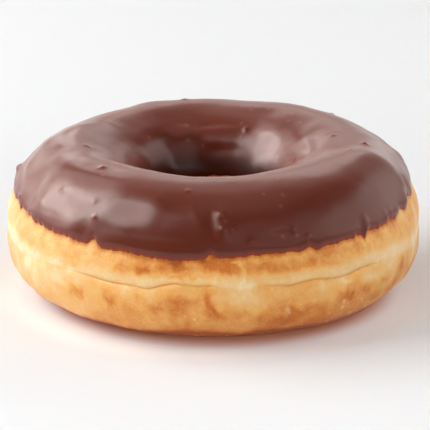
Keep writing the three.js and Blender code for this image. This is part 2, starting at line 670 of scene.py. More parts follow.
@dataclass(frozen=True)
class FriedDoughFinish:
    """The crust of fried dough: cream where it stayed above the oil, golden and brown where it fried."""

    crust: tuple[tuple[float, Colour], ...] = (
        (0.0, (0.84, 0.65, 0.39)),  # cream
        (0.30, (0.81, 0.52, 0.215)),  # straw
        (0.62, (0.79, 0.40, 0.105)),  # golden
        (1.0, (0.62, 0.19, 0.024)),  # brown
        (MOST_BROWNED, (0.36, 0.08, 0.010)),  # dark brown
    )
    blister: Colour = (0.90, 0.72, 0.48)
    mottle: Grain = Grain(2.0, 0.34, 4.0, 0.6)  # adds to the browning
    fuzz: Grain = Grain(0.55, 0.32, 2.0)  # and so does this
    pores: Grain = Grain(1.1, 0.10, 3.0, 0.6)
    crumbs: Grain = Grain(0.35, 0.03, 2.0)
    skin: Skin = Skin(0.45, 0.55, (1.0, 0.40, 0.15), 3.0, index=1.40)

    def material(self) -> bpy.types.Material:
        """Builds the material. It reads how brown the crust is, with the painted shade in its crease and
        under the icing's rim, from the piece's own attribute.

        Returns:
            The material.
        """
        recipe = Recipe("fried_dough_crust")
        browning_and_shade = recipe.maths(recipe.attribute("browning_and_shade"), "ADD", recipe.unevenness(self.mottle))
        browning_and_shade = recipe.maths(browning_and_shade, "ADD", recipe.unevenness(self.fuzz))
        stops = tuple((place / MOST_BROWNED, colour) for place, colour in self.crust)
        crust = recipe.ramp(recipe.maths(browning_and_shade, "MULTIPLY", 1 / MOST_BROWNED), stops)
        spotted = recipe.blend(recipe.attribute("blistered"), crust, self.blister)
        recipe.put(recipe.shader.inputs["Base Color"], spotted)
        recipe.set_skin(self.skin)
        recipe.bump(self.pores, self.crumbs)
        return recipe.material


@dataclass(frozen=True)
class ChocolateIcingFinish:
    """Set chocolate icing: a dark brown satin gloss, thinner and redder at its edge, and darkened down in the
    hole by painted shade.
    """

    body: Colour = (0.170, 0.0280, 0.0120)
    thin: Colour = (0.44, 0.050, 0.014)
    # painted shade: the dark colour that the icing takes down in the hole
    hole_shade: Colour = (0.050, 0.0080, 0.0045)
    cloud: Colour = (0.200, 0.042, 0.018)
    fleck: Colour = (0.30, 0.08, 0.035)
    clouds: Grain = Grain(14.0, 0.18, 2.0)  # adds the cloud's colour
    dimples: Grain = Grain(2.4, 0.02, 2.0)
    specks: Grain = Grain(0.5, 0.004, 1.0)
    edge_dulling: float = 0.3  # how much less the thin edge shines
    skin: Skin = Skin(0.28, 0.08, (1.0, 0.3, 0.15), 1.0, index=1.46)

    def material(self) -> bpy.types.Material:
        """Builds the material. The piece's attributes say where it is thin, where it is flecked, and where
        painted shade darkens it down in the hole.

        Returns:
            The material.
        """
        recipe = Recipe("set_chocolate_icing")
        clouded = recipe.maths(recipe.noise(self.clouds), "MULTIPLY", self.clouds.strength)
        body = recipe.blend(clouded, (*self.body, 1), self.cloud)
        flecked = recipe.blend(recipe.attribute("flecked"), body, self.fleck)
        edged = recipe.blend(recipe.attribute("thin"), flecked, self.thin)
        # Painted shade: the icing turns to the dark colour down in the hole.
        shaded = recipe.blend(recipe.attribute("hole_shade"), edged, self.hole_shade)
        recipe.put(recipe.shader.inputs["Base Color"], shaded)
        recipe.set_skin(self.skin)
        dull = recipe.maths(recipe.attribute("thin"), "MULTIPLY", -self.edge_dulling)
        recipe.put(recipe.shader.inputs["Specular IOR Level"], recipe.maths(self.skin.specular, "ADD", dull))
        recipe.bump(self.dimples, self.specks)
        return recipe.material


@dataclass(frozen=True)
class PaintedFloorPatch:
    """A round patch of colour on the floor that stands in for light and shade round the doughnut, and fades
    at its rim: its middle and its reach in mm.
    """

    colour: Colour
    middle: tuple[float, float]
    reach: tuple[float, float]  # from its middle, where it starts to fade and is gone

    def over(self, recipe: Recipe, place: Socket, below: object) -> Socket:
        """Lays the painted patch over a colour.

        Args:
            recipe: The material being put together.
            place: Object coordinates.
            below: The colour outside the patch.

        Returns:
            The socket of the colour with the patch laid over it.
        """
        away = recipe.add("ShaderNodeVectorMath", {"operation": "DISTANCE"})
        recipe.put(away.inputs[0], place)
        recipe.put(away.inputs[1], (*(size * MILLIMETRE for size in self.middle), 0.0))
        near, far = (reach * MILLIMETRE for reach in self.reach)
        share = recipe.add("ShaderNodeMapRange", {"interpolation_type": "SMOOTHSTEP"})
        recipe.put(share.inputs["Value"], away.outputs["Value"])
        for socket, value in (("From Min", near), ("From Max", far), ("To Min", 1.0), ("To Max", 0.0)):
            share.inputs[socket].default_value = value
        return recipe.blend(share.outputs["Result"], below, self.colour)


@dataclass(frozen=True)
class FloorFinish:
    """A pale matt floor, with painted light round the doughnut and a painted warm shadow under it."""

    colour: Colour = (0.81, 0.81, 0.81)
    painted_light_and_shade: tuple[PaintedFloorPatch, ...] = (
        PaintedFloorPatch((0.93, 0.93, 0.93), (-2.0, -1.5), (40.0, 48.0)),  # painted light: paler round the doughnut, against its contact shadow
        PaintedFloorPatch((0.74, 0.36, 0.22), (1.2, -1.0), (33.0, 40.0)),  # painted shade: a warm, reddish contact shadow under the doughnut
        PaintedFloorPatch((0.81, 0.78, 0.76), (0.0, 0.0), (16.0, 25.0)),  # and back to a plain colour inside the hole, without the painted light and shade
    )
    skin: Skin = Skin(0.8, 0.35, (1.0, 0.75, 0.65), 3.0, specular=0.1)

    def material(self) -> bpy.types.Material:
        """Builds the material.

        Returns:
            The material.
        """
        recipe = Recipe("pale_floor")
        place = recipe.add("ShaderNodeTexCoord").outputs["Object"]
        colour = (*self.colour, 1)
        for painted_patch in self.painted_light_and_shade:
            colour = painted_patch.over(recipe, place, colour)
        recipe.put(recipe.shader.inputs["Base Color"], colour)
        recipe.set_skin(self.skin)
        return recipe.material


@dataclass(frozen=True)
class Edges:
    """Where the icing ends, at each turn."""

    inner: Array
    outer: Array

    def inside(self, lengths: Array) -> Array:
        """How far each length lies inside the iced stretch, from its nearer edge, and negative on bare dough.

        Args:
            lengths: Lengths along each section, one row for each turn.

        Returns:
            The distance for each length.
        """
        return np.minimum(lengths - self.inner[:, None], self.outer[:, None] - lengths)


@dataclass(frozen=True)
class IcingEdgeLine:
    """The uneven line that the icing ends on, outside the ring and in the hole."""

    outer_height: float = 22.5
    inner_height: float = 20.1
    outer_waves: tuple[Wave, ...] = (
        Wave(1, 0.7, 165), Wave(2, 0.8, 81), Wave(3, 0.25, 42),
        Wave(4, 0.35, -8), Wave(5, 0.4, 22), Wave(9, 0.2, 8),
    )
    inner_waves: tuple[Wave, ...] = (Wave(1, 0.3, 172), Wave(3, 0.3, 172), Wave(7, 0.2, 172))
    inner_swells: tuple[Swell, ...] = (Swell(180, 45, -0.55),)
    # Runs and notches of the outer edge.
    outer_swells: tuple[Swell, ...] = (
        Swell(-38.5, 2.4, -0.30), Swell(-35.0, 1.3, 1.15), Swell(-32, 1.5, -0.25), Swell(-22, 3.0, 0.20),
        Swell(-12, 3.0, -0.25), Swell(-5, 2.5, -0.3), Swell(-1.2, 1.5, 0.8), Swell(4, 4.0, -0.30),
        Swell(12, 5.0, -0.2), Swell(23.5, 1.2, -0.25), Swell(26.4, 0.6, 0.5), Swell(29.0, 1.0, -0.3),
        Swell(42.2, 0.8, 0.45), Swell(45.0, 0.8, -1.0), Swell(48, 1.5, 0.25), Swell(-72, 1.0, -0.3),
        Swell(-64, 1.0, 0.3), Swell(-76, 1.2, 0.4), Swell(65.5, 1.4, 0.7), Swell(69.5, 1.5, -0.7),
        Swell(74.0, 1.4, 0.9), Swell(86, 9, 0.6), Swell(79.5, 1.3, -0.9), Swell(58, 1.0, 0.3),
        Swell(96, 1.2, -0.5), Swell(118, 1.6, 0.5), Swell(141, 1.3, -0.6), Swell(163, 1.0, 0.6),
        Swell(-101, 1.2, 0.5), Swell(-123, 1.4, -0.6), Swell(-149, 1.0, 0.7), Swell(-171, 1.5, -0.4),
        Swell(32, 30, -0.30), Swell(-60, 13, -0.35),
    )
    # Small teeth: about how many go round the ring, and how high they are.
    teeth: tuple[tuple[int, float], ...] = (
        (29, 0.07), (53, 0.07), (89, 0.06), (137, 0.055), (199, 0.05), (260, 0.04),
    )
    tooth_waves: int = 4  # that add up to the teeth of each size
    gathers: tuple[int, int] = (2, 9)  # how many times round the ring a wave of teeth gathers
    seed: int = 5

    def _toothed(self, turns: Array, seed: int) -> Array:
        """Small teeth of the edge: waves with random crests, each stronger in some places than in others.

        Args:
            turns: Turns in radians.
            seed: Of the random choices.

        Returns:
            How much they add to the edge's height at each turn.
        """
        random = np.random.default_rng(seed)
        total = np.zeros_like(turns)
        for crests, height in self.teeth:
            for extra in random.integers(0, crests // 3, self.tooth_waves):
                here = np.cos((crests + int(extra)) * turns + random.uniform(0, 2 * np.pi))
                gather = np.cos(int(random.integers(*self.gathers)) * turns + random.uniform(0, 2 * np.pi))
                total += height * here * (0.5 + 0.5 * gather) ** 1.5
        return total

    def on(self, ring: TracedRing, teeth: float = 1.0) -> Edges:
        """Finds the two edges on a traced ring.

        Args:
            ring: The traced ring.
            teeth: How strong the small teeth are.

        Returns:
            The lengths of the edges.
        """
        outer = self.outer_height + summed(self.outer_waves + self.outer_swells, ring.turns)
        inner = self.inner_height + summed(self.inner_waves + self.inner_swells, ring.turns)
        outer += teeth * self._toothed(ring.turns, self.seed)
        inner += teeth * self._toothed(ring.turns, self.seed + 1)
        return Edges(ring.length_at_height(inner, Side.HOLE), ring.length_at_height(outer, Side.OUTSIDE))


@dataclass(frozen=True)
class Pimple:
    """A small bump in the icing, over a grain of the crust: its turn in degrees and the rest in mm."""

    turn: float
    radius: float  # its distance from the ring's axis
    height: float
    width: float


@dataclass(frozen=True)
class Fleck:
    """A grain of crust that shows through the icing: its turn in degrees, and the rest in mm."""

    turn: float
    radius: float  # its distance from the ring's axis
    width: float = 0.34


@dataclass(frozen=True)
class ChocolateIcing:
    """The coat of chocolate icing, a closed shell over the top of the ring."""

    outline: RingOutline
    edge_line: IcingEdgeLine
    thickness: float = 1.2
    rim_thickness: float = 0.8
    rim_length: float = 8.0
    rim_reach: float = 2.0  # how far up the icing its outer rim begins to round over
    rim_teeth: float = 0.15  # how much of the edge's teeth shows where the rim begins to round over
    thin_reach: float = 1.1  # how far up from an edge it looks thin
    hole_shade_strength: float = 0.85  # how strongly the painted shade darkens the icing down in the hole
    hole_shade_heights: tuple[float, float] = (27.0, 22.5)  # where that starts, and is full
    even_leans: tuple[float, float] = (68, 50)  # between which the swells grow, up from the edge
    around: int = 760
    inner_rim_steps: int = 7
    rim_steps: int = 12
    face_steps: int = 102
    face_crowding: float = 1.35  # towards the outer rim
    under_steps: int = 8
    pimple_foot: tuple[float, float] = (0.25, 2.6)  # the share of a pimple that spreads wider, and how wide
    # The thicker bead just above the edge.
    bead: tuple[Fold, ...] = (
        Fold(-16, 14, 66, 7, 0.14), Fold(-56, 8, 65, 6, 0.08), Fold(12, 7, 66, 6, 0.10),
        Fold(35, 9, 66, 6, 0.08), Fold(120, 30, 64, 6, 0.1), Fold(-140, 30, 64, 6, 0.1),
    )
    swells: tuple[Ripple, ...] = (Ripple(24, 0.07, 21), Ripple(11, 0.030, 22), Ripple(4.5, 0.010, 23))
    # Broad rises and dips: the lips of the hole, and the low and the high stretches of the ring.
    shape: tuple[Fold, ...] = (
        Fold(-48, 44, -24, 24, 0.45), Fold(8, 22, -20, 24, 0.40), Fold(-48, 12, 2, 12, -0.34),
        Fold(34, 16, 0, 13, -0.14), Fold(-94, 14, 50, 12, 0.32), Fold(-97, 12, 18, 10, 0.25),
        Fold(-179.2, 18, -44, 9, 0.59, 0.17), Fold(177.7, 45, 19, 41, -0.90, -0.21),
        Fold(-175.4, 21, 17, 27, 0.68, -0.35), Fold(-169.3, 18, -42, 26, -0.49, 0.05),
        Fold(58.1, 45, 6, 22, -0.17, -0.11), Fold(149.7, 19, 1, 16, 0.29, -0.15),
        Fold(54.7, 18, -6, 19, 0.07), Fold(163.5, 16, 1, 22, 0.12, -0.03),
        Fold(-33.2, 16, 28, 18, 0.10, -0.01), Fold(-94.1, 37, -63, 17, 0.97, 0.08),
        Fold(-101.3, 18, 32, 30, -0.89, -0.02), Fold(-116, 27, -53, 27, 0.64, 0.31),
        Fold(-92.7, 35, -22, 15, -0.58, 0.31), Fold(-123.5, 12, 20, 41, -0.48, 0.08),
        Fold(-89.6, 19, -49, 13, 0.59, -0.06), Fold(-128.7, 13, -43, 19, -0.48, 0.10),
        Fold(-74.5, 12, 11, 42, -0.48, -0.26), Fold(128, 14, -53, 29, 0.27, 0.05),
        Fold(93.4, 23, 27, 32, -0.69, 0.03), Fold(113.9, 18, -53, 29, 0.39, 0.47),
        Fold(92.6, 16, -40, 9, 0.66, 0.05), Fold(140.7, 17, 0, 15, 0.31, -0.05),
        Fold(63.7, 23, -39, 15, 0.66, -0.05),
    )
    # Folds that run down the icing.
    folds: tuple[Fold, ...] = (
        Fold(-161.2, 5.4, -39, 9, 0.35, -0.07), Fold(-154.1, 8.2, 18, 30, 0.54, -0.03),
        Fold(-153.1, 8.0, 2, 8, -0.16, -0.11), Fold(-149.4, 6.2, -52, 13, -0.43, 0.19),
        Fold(-131.2, 11, -50, 26, 0.54, -0.09), Fold(-125.7, 12, -38, 13, 0.28, 0.04),
        Fold(-110.3, 4.3, 9, 13, 0.10, 0.30), Fold(-108.2, 9.7, -53, 13, 0.32, 0.04),
        Fold(-97.3, 11, 48, 28, 0.22, -0.08), Fold(-96.8, 10, -37, 12, 0.08, 0.03),
        Fold(-95.2, 6.3, 27, 25, 0.34, 0.60), Fold(-67.2, 4.5, 48, 19, -0.59, 0.03),
        Fold(-58.8, 6.9, 65, 16, 0.56, 0.03), Fold(-49, 5.2, 45, 18, 0.24, -0.06),
        Fold(-48.9, 8.2, 44, 29, -0.51, -0.20), Fold(-44.7, 3.7, 62, 12, 0.24, -0.18),
        Fold(-38.6, 2.0, 71, 9, -0.15, -0.01), Fold(-32, 3.2, 41, 14, 0.14, -0.12),
        Fold(-27.4, 5.8, 61, 15, 0.41, -0.18), Fold(-22.7, 6.5, 53, 17, -0.33, 0.09),
        Fold(-18.2, 5.0, 45, 23, 0.26, -0.08), Fold(-12.7, 3.5, 32, 20, -0.09, -0.15),
        Fold(-4, 2.2, 46, 18, 0.12, 0.10), Fold(-1.2, 1.6, 47, 12, -0.08), Fold(2, 2.1, 47, 16, 0.36, 0.05),
        Fold(9.8, 2.7, 55, 8, -0.12), Fold(19.4, 4.1, 60, 6, -0.27, -0.01), Fold(23, 2.2, 60, 6, 0.12),
        Fold(43.8, 1.1, 64, 6, -0.14), Fold(46.2, 1.1, 62, 7, 0.26), Fold(55.4, 1.3, 62, 6, 0.12),
        Fold(58.6, 1.2, 62, 6, 0.10), Fold(62.5, 1.4, 63, 5, 0.08), Fold(70.5, 2.4, 58, 7, 0.40),
        Fold(74.6, 9.1, 28, 28, 0.70, 0.09), Fold(76.5, 1.8, 52, 9, -0.15),
        Fold(100.9, 3.8, 39, 16, 0.40, -0.53), Fold(101.1, 4.8, 53, 19, 0.54, 0.25),
        Fold(106.6, 11, -41, 14, 0.28, -0.08), Fold(111.4, 5.7, -32, 28, -0.09, -0.20),
        Fold(116.5, 6.6, -18, 24, 0.08), Fold(141.4, 9.1, -28, 15, 0.59, 0.09),
        Fold(152.6, 11, 18, 26, 0.09, -0.09),
    )
    # Small folds at random places: the ranges of their turn, width, lean, length, height and slant.
    loose_folds: int = 46
    loose_ranges: tuple[tuple[float, float], ...] = (
        (-180, 180), (1.6, 3.6), (-50, 60), (10, 22), (-0.035, 0.035), (-0.1, 0.1),
    )
    loose_seed: int = 77
    pimples: tuple[Pimple, ...] = (
        Pimple(-80, 27.8, 0.35, 0.8), Pimple(-48, 31.5, 0.45, 0.7), Pimple(-36, 41.9, 0.32, 0.5),
        Pimple(-94, 42.6, 0.9, 0.9), Pimple(98, 26.1, 0.3, 0.6), Pimple(87, 32.5, 0.5, 0.55),
        Pimple(131, 34.9, 0.35, 0.6), Pimple(73, 30.4, 0.2, 0.4), Pimple(-9, 34.9, 0.25, 0.5),
        Pimple(2, 39.9, 0.3, 0.6), Pimple(2.5, 41.9, 0.3, 0.6), Pimple(5, 42.3, 0.25, 0.6),
        Pimple(-168, 32.4, 0.35, 0.8), Pimple(-53, 40.1, 0.2, 0.5), Pimple(-38, 40.2, 0.2, 0.4),
        Pimple(22, 42.7, 0.3, 0.6), Pimple(10, 43.1, 0.25, 0.5), Pimple(26, 43.4, 0.25, 0.5),
        Pimple(-64, 43.4, 0.25, 0.5), Pimple(-74, 43.2, 0.3, 0.6), Pimple(160, 20.3, 0.25, 0.6),
    )
    flecks: tuple[Fleck, ...] = (
        Fleck(22, 37.3), Fleck(20, 39.4), Fleck(164, 21.8), Fleck(-164, 22.2), Fleck(-162, 19.4),
        Fleck(-172, 18.3), Fleck(162, 26.3), Fleck(136, 23.7), Fleck(154, 27.3), Fleck(-136, 21.2),
        Fleck(162, 18.9), Fleck(16, 36.5), Fleck(140, 26.7), Fleck(129, 24.4), Fleck(-22, 29.1),
        Fleck(-124, 18.0), Fleck(24, 32.0), Fleck(30, 30.8), Fleck(-36, 42.2), Fleck(2, 40.2),
        Fleck(5, 42.0), Fleck(3, 41.0), Fleck(-94, 43.0), Fleck(70, 43.3), Fleck(23, 43.2),
        Fleck(26, 43.6), Fleck(-46, 33.0), Fleck(-43, 34.2), Fleck(87, 32.9), Fleck(19, 43.1),
    )

    def build(self) -> Piece:
        """Makes the shell: its outer face with rounded rims, and its underside.

        The face lies on the ring's outline, raised by its relief. At each rim it rounds down to the underside
        as a quarter ellipse, so that its depth is 1 - cos a of the thickness where it is sin a along the rim.

        Returns:
            The piece.
        """
        ring = self.outline.trace(2 * np.pi * even_shares(self.around))
        edges = self.edge_line.on(ring)
        lengths, depth_share = self._grid(edges, self.edge_line.on(ring, self.rim_teeth))
        inside = edges.inside(lengths)
        full = smooth_step(inside, 0, self.rim_length)
        thickness = self.rim_thickness + (self.thickness - self.rim_thickness) * full
        flat = ring.point(lengths)
        relief = self._relief(ring, flat, lengths) * (1 - depth_share)
        points = ring.point(lengths, relief - thickness * depth_share)
        thin = np.clip(1 - inside / self.thin_reach, 0, 1) ** 1.5
        in_hole = lengths < ring.ridge[:, None]
        # Painted shade: darker down in the hole, where little light reaches.
        hole_shade = self.hole_shade_strength * smooth_step(flat[..., 2], *self.hole_shade_heights) * in_hole
        return ring_mesh("icing_coat", points, {"thin": thin, "hole_shade": hole_shade, "flecked": self._flecked(flat)})

    def _grid(self, edges: Edges, soft_edges: Edges) -> tuple[Array, Array]:
        """The lengths of the shell's grid, and how deep each of its points lies.

        Args:
            edges: Where the icing ends.
            soft_edges: The same without most of its teeth, which the outer rim begins to round over along.

        Returns:
            The lengths, and shares of the thickness, from 0 on the face to 1 beneath.
        """
        rim = self.rim_thickness
        inner_angle = np.pi / 2 * even_shares(self.inner_rim_steps)
        inner = edges.inner[:, None] + rim * (1 - np.cos(inner_angle))
        start, end = edges.inner[:, None] + rim, soft_edges.outer[:, None] - self.rim_reach
        share = even_shares(self.face_steps)
        face = start + (end - start) * (1 - (1 - share) ** self.face_crowding)
        angle = np.pi / 2 * even_shares(self.rim_steps)
        outer = end + (edges.outer[:, None] - end) * np.sin(angle)
        under = edges.outer[:, None] + (edges.inner - edges.outer)[:, None] * even_shares(self.under_steps)
        lengths = np.concatenate((inner, face, outer, under), axis=1)
        depth = np.concatenate(
            (1 - np.sin(inner_angle), np.zeros(self.face_steps), 1 - np.cos(angle), np.ones(self.under_steps))
        )
        return lengths, np.broadcast_to(depth, lengths.shape)

    def _relief(self, ring: TracedRing, points: Array, lengths: Array) -> Array:
        """How far the face stands off the outline: soft swells, the bead above the edge, folds and pimples.

        A pimple is a narrow bell curve of the distance from its middle, on a lower and wider one.

        Args:
            ring: The traced ring.
            points: The points of the outline.
            lengths: Their lengths along each section.

        Returns:
            The rise at each point, in mm.
        """
        turns, leans = ring.turns[:, None], ring.lean(lengths)
        relief = sum(swell.over(points) for swell in self.swells)
        relief *= smooth_step(leans, *self.even_leans)
        for fold in (*self.shape, *self.bead, *self.folds, *self._loose()):
            relief += fold.over(turns, leans)
        foot, foot_width = self.pimple_foot
        for pimple, centre in zip(self.pimples, self._places(self.pimples)):
            away = np.linalg.norm(points - centre, axis=-1) / pimple.width
            bell = (1 - foot) * np.exp(-(away**2)) + foot * np.exp(-((away / foot_width) ** 2))
            relief += pimple.height * bell
        return relief

    def _loose(self) -> list[Fold]:
        """Small folds at random places all round, running down the icing.

        Returns:
            The folds.
        """
        random = np.random.default_rng(self.loose_seed)
        return [
            Fold(*(random.uniform(*ends) for ends in self.loose_ranges)) for _ in range(self.loose_folds)
        ]

    def _places(self, spots: tuple[Pimple | Fleck, ...]) -> Array:
        """Where several pimples or flecks lie on the outline.

        Args:
            spots: The pimples or flecks.

        Returns:
            Their middles, one row each.
        """
        ring = self.outline.trace(np.radians([spot.turn for spot in spots]))
        radius = np.array([spot.radius for spot in spots])
        return ring.point(ring.length_at_radius(radius)[:, None])[:, 0]

    def _flecked(self, points: Array) -> Array:
        """How much of the crust's grain shows through, as the sum of a bell curve for each fleck.

        Args:
            points: The points of the outline.

        Returns:
            A share from 0 to 1 for each point.
        """
        total = np.zeros(points.shape[:2])
        for fleck, centre in zip(self.flecks, self._places(self.flecks)):
            total += np.exp(-((np.linalg.norm(points - centre, axis=-1) / fleck.width) ** 2))
        return np.clip(total, 0, 1)

    def dress(self, piece: Piece, finish: ChocolateIcingFinish) -> None:
        """Gives the piece its finish and its place in the frame.

        Args:
            piece: The piece.
            finish: What it is made of.
        """
        piece.data.materials.append(finish.material())
        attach(piece, "root")
        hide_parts("chocolate_icing")


@dataclass(frozen=True)
class Spot:
    """A patch on the outside of the dough: its turn in degrees, and its sizes in mm."""

    turn: float
    height: float
    wide: float
    tall: float
    adds: float  # to the browning

    def over(self, turns: Array, points: Array) -> Array:
        """What it adds times a bell curve of the distance round the ring, and of the height, from its middle.

        Args:
            turns: Turns in radians, one row for each turn.
            points: Points in mm, with x, y and z last.

        Returns:
            What it adds at each point.
        """
        away = round_from(turns, self.turn) * BELLY_RADIUS
        above = points[..., 2] - self.height
        return self.adds * np.exp(-((away / self.wide) ** 2) - (above / self.tall) ** 2)


@dataclass(frozen=True)
class Stripe:
    """A stripe of browning that runs round the dough, with its place and its half-width in mm."""

    adds: float
    at: float
    width: float
    power: int = 2

    def over(self, distances: Array) -> Array:
        """What it adds times exp(-|d|^power), where d is the distance from its middle in half-widths."""
        return self.adds * np.exp(-(np.abs((distances - self.at) / self.width) ** self.power))


@dataclass(frozen=True)
class Rise:
    """Browning that grows from nothing at one distance to the whole at another, in mm."""

    adds: float
    start: float
    full: float

    def over(self, distances: Array) -> Array:
        """What it adds times a smooth step of the distance."""
        return self.adds * smooth_step(distances, self.start, self.full)


@dataclass(frozen=True)
class DoughRing:
    """The ring of fried dough, a closed solid."""

    outline: RingOutline
    edge_line: IcingEdgeLine
    rim_thickness: float = 0.8  # of the icing
    under_icing: float = 1.35
    draw_in: float = 4.5  # how far from the icing it begins to draw in
    tuck: float = 0.25  # how far the icing's rim sinks into it
    hidden_step: tuple[float, float] = (0.3, 5.0)  # from the icing's edge, where it sinks clear of the icing
    bare_step: tuple[float, float] = (-1.0, 3.0)  # and out on the bare crust, where its lumps grow
    flat_foot: float = 2.5  # up to this height the lumps fade
    around: int = 780
    crease_depth: float = 0.55
    crease_width: float = 0.35
    faintest_crease: float = 0.12  # how much of it shows where it is faintest
    lip_height: float = 0.16  # of the lower roll, just below the crease
    lip_width: float = 0.8
    lip_below: float = 1.3
    valley_depth: float = 0.35
    valley_width: float = 2.2
    blister_height: float = 0.12
    blister_paleness: float = 0.7
    crease_swells: tuple[Swell, ...] = (
        Swell(-18, 3.0, -0.7), Swell(-10, 2.6, 0.4), Swell(0, 2.6, 0.4), Swell(7, 2.2, -0.4),
        Swell(12.8, 1.6, 0.4), Swell(20, 3.2, -0.6), Swell(28, 3.0, 0.3), Swell(45, 4.0, 0.4),
    )
    # Where the crease shows clearly.
    shown_crease: tuple[Swell, ...] = (
        Swell(-30, 9, 0.9), Swell(-14, 8, 0.9), Swell(-3, 4, 0.6), Swell(19, 5, 0.9), Swell(30, 8, 0.9),
        Swell(42, 7, 0.9), Swell(150, 30, 0.9), Swell(-130, 25, 0.9), Swell(95, 15, 0.7),
    )
    lumps: tuple[Ripple, ...] = (Ripple(15, 0.10, 31), Ripple(6, 0.05, 32), Ripple(2.6, 0.022, 33))
    shape: tuple[Fold, ...] = (
        Fold(70, 12, 128, 22, -0.45), Fold(-50, 30, 125, 20, 0.12), Fold(92, 36, 95, 30, -0.22),
        Fold(-92, 36, 95, 30, -0.16), Fold(0, 24, 100, 24, -0.02),
    )
    # Paler and browner patches, from the front round to the right and the left. The thin upright pale streaks
    # among them, at turns 6.9, 7.4 and 46.3, are painted highlights on small wrinkles.
    spots: tuple[Spot, ...] = (
        Spot(8, 12.8, 3.4, 2.4, -0.36), Spot(12, 10.8, 2.0, 1.6, -0.24), Spot(2.5, 12.8, 1.4, 1.5, -0.2),
        Spot(-18, 12.3, 2.0, 1.4, -0.26), Spot(-25, 13.2, 1.6, 0.9, -0.24), Spot(37, 13.4, 1.8, 1.0, -0.4),
        Spot(-46, 12.2, 2.6, 1.5, -0.25), Spot(-60, 13.2, 4.0, 2.5, -0.3),
        Spot(-50, 17.9, 4.0, 1.4, -0.2), Spot(-78, 16.0, 12.0, 7.5, -0.36), Spot(-52, 9.0, 8.0, 4.0, -0.12),
        Spot(60, 14.0, 3.5, 1.2, -0.10), Spot(78, 14.5, 6.0, 2.2, -0.25), Spot(29, 13.2, 2.0, 0.8, -0.2),
        Spot(47, 12.6, 2.2, 0.9, -0.2), Spot(-36, 8.0, 3.0, 1.2, -0.12), Spot(20, 13.0, 1.5, 0.7, -0.15),
        Spot(-20, 18.0, 1.6, 1.2, 0.40), Spot(-25, 17.4, 1.6, 1.1, 0.32), Spot(-10, 19.1, 2.6, 1.3, 0.42),
        Spot(-2, 20.3, 1.5, 0.9, 0.28), Spot(-29, 10.5, 1.7, 1.3, 0.24), Spot(-16, 10.3, 1.3, 1.3, 0.30),
        Spot(-9, 10.8, 3.0, 2.2, 0.36), Spot(-2, 12.0, 0.8, 1.6, 0.34), Spot(-0.5, 10.2, 0.8, 1.6, 0.34),
        Spot(1, 8.4, 1.0, 1.5, 0.26), Spot(12, 8.4, 1.8, 1.0, 0.16), Spot(20, 6.6, 3.0, 1.6, 0.32),
        Spot(24, 8.6, 3.0, 1.4, 0.24), Spot(28, 9.8, 1.8, 1.0, 0.16), Spot(4, 18.8, 3.0, 1.2, 0.26),
        Spot(13, 19.7, 2.0, 1.0, 0.18), Spot(17, 18.0, 2.4, 1.0, 0.22), Spot(38, 10.2, 2.2, 1.4, 0.45),
        Spot(45, 10.3, 1.6, 1.4, 0.34), Spot(54, 11.0, 1.5, 1.4, 0.3), Spot(62, 11.4, 1.5, 1.2, 0.2),
        Spot(68, 9.6, 2.6, 2.4, 0.22), Spot(-38, 18.9, 2.0, 1.1, 0.22), Spot(-40, 10.9, 2.0, 1.4, 0.3),
        Spot(-67, 18.5, 2.0, 1.2, 0.15), Spot(32, 20.4, 2.0, 0.8, 0.24), Spot(28, 18.4, 4.0, 1.2, 0.18),
        Spot(40, 20.0, 4.0, 1.4, 0.2), Spot(6.9, 18.4, 0.35, 1.5, -0.34), Spot(7.4, 16.0, 0.35, 1.3, -0.25),
        Spot(5.4, 19.9, 1.1, 0.28, -0.3), Spot(46.3, 19.6, 0.35, 1.4, -0.34),
        Spot(27.5, 19.0, 0.8, 0.7, -0.2), Spot(-3, 18.8, 18.0, 2.2, 0.14), Spot(0, 19.4, 3.5, 1.8, 0.20),
        Spot(49, 13.6, 5.0, 2.2, -0.36), Spot(-46, 14.2, 6.0, 2.0, -0.30), Spot(-66, 11.0, 7.0, 4.0, -0.20),
        Spot(-48, 3.2, 10.0, 2.6, -0.35), Spot(-38, 12.0, 2.0, 2.0, -0.15), Spot(-52, 17.5, 5.5, 3.4, 0.28),
        Spot(-74, 17.9, 5.5, 3.4, 0.10), Spot(31, 6.1, 5.5, 3.4, 0.28), Spot(-2, 10.4, 2.0, 3.4, 0.30),
        Spot(-9, 17.0, 5.5, 0.8, 0.36), Spot(49, 5.4, 5.5, 3.4, 0.28), Spot(16, 5.1, 5.5, 3.4, 0.22),
        Spot(14, 17.8, 5.5, 3.4, 0.16), Spot(-42, 16.9, 3.2, 1.3, 0.36), Spot(-33, 18.4, 5.5, 1.3, -0.22),
        Spot(49, 20.9, 5.5, 2.1, 0.20), Spot(-20, 12.3, 1.2, 1.3, 0.36), Spot(-9, 8.0, 3.2, 2.1, 0.2),
    )
    # Small pale blisters at random places, and the ranges of their height and width.
    speckles: int = 90
    speckle_heights: tuple[float, float] = (1.8, 9.5)
    speckle_widths: tuple[float, float] = (0.16, 0.38)
    speckle_seed: int = 9
    # Patches at random places at the sides and behind: the ranges of their turn, height, width and
    # tallness, and what one adds to the browning.
    patches: int = 110
    patch_ranges: tuple[tuple[float, float], ...] = ((72, 276), (3, 21), (1.0, 3.4), (0.8, 2.2))
    patch_adds: tuple[float, ...] = (-0.26, 0.26, 0.34)
    patch_seed: int = 8
    front_half_width: float = 62  # of the calmer front, in degrees of turn
    golden: float = 0.60  # how browned the crust is where nothing adds to it
    # Browner below the crease, where the dough turns under, and on the foot.
    rises: tuple[Rise, ...] = (Rise(0.10, 0.8, 11.0), Rise(0.38, 9.5, 14.5), Rise(0.50, 11.0, 14.0))
    belt: Stripe = Stripe(1.0, -1.5, 1.55, 3)  # the pale belt just above the crease
    belt_paleness: float = 0.36
